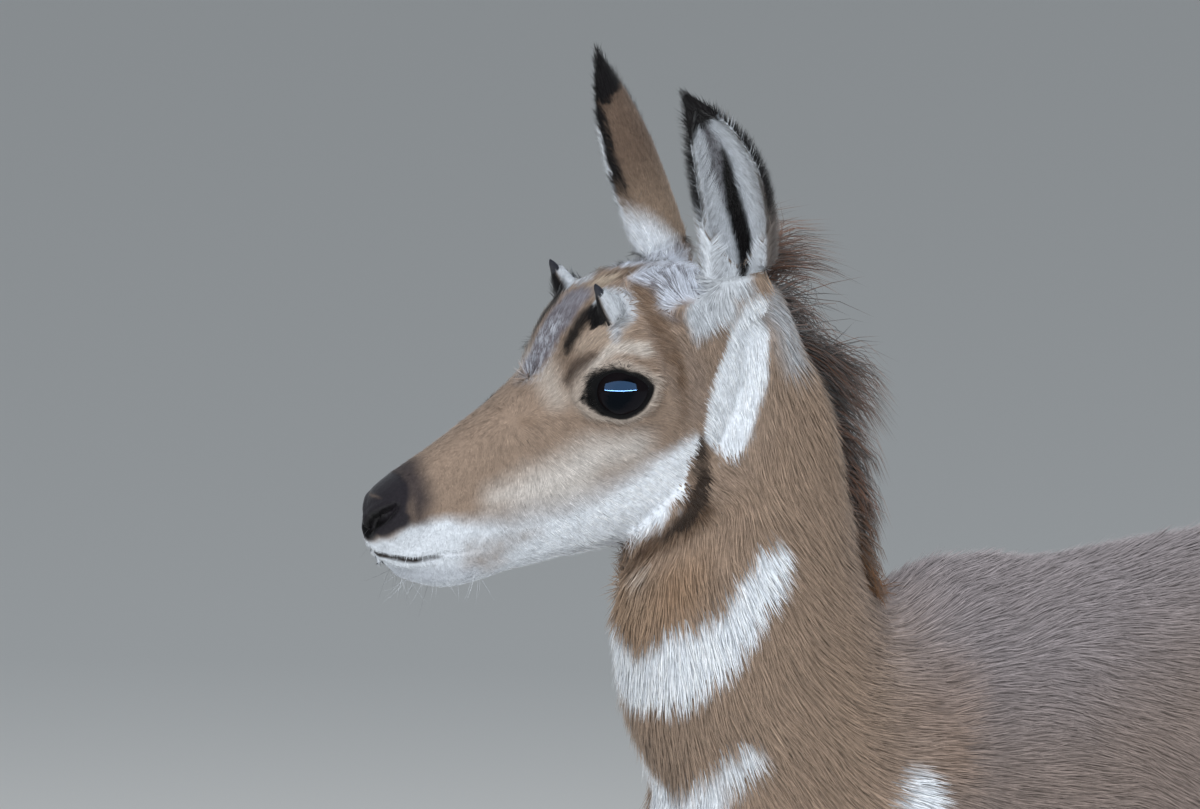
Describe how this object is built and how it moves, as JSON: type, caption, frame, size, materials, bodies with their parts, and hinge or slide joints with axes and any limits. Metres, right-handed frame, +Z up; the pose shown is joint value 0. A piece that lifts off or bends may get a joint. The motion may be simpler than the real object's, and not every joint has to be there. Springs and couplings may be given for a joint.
{
  "type": "young pronghorn model",
  "caption": "Standing young pronghorn at life size, head turned to its right, with horn buds, upright ears, short mane and cloven hooves.",
  "frame": {"origin": "on the ground under the middle of the box round the whole animal", "axes": "+Z up, the animal faces -X and its left side is on -Y"},
  "size_m": [0.7416, 0.1684, 0.9223],
  "materials": {
    "coat": "short dense fur, tan above and white below, with a dark mane",
    "eye": "wet black",
    "horn": "dull black, hair grown",
    "hoof": "satin black horn"
  },
  "bodies": {
    "root": {"torso": "coat", "neck": "coat", "head": "coat", "ear_left": "coat", "eye_left": "eye", "horn_bud_left": "horn", "ear_right": "coat", "eye_right": "eye", "horn_bud_right": "horn", "leg_fore_left": "coat", "claw_fore_left_outer": "hoof", "claw_fore_left_inner": "hoof", "leg_fore_right": "coat", "claw_fore_right_outer": "hoof", "claw_fore_right_inner": "hoof", "leg_hind_left": "coat", "claw_hind_left_outer": "hoof", "claw_hind_left_inner": "hoof", "leg_hind_right": "coat", "claw_hind_right_outer": "hoof", "claw_hind_right_inner": "hoof", "tail": "coat"}
  },
  "joints": []
}
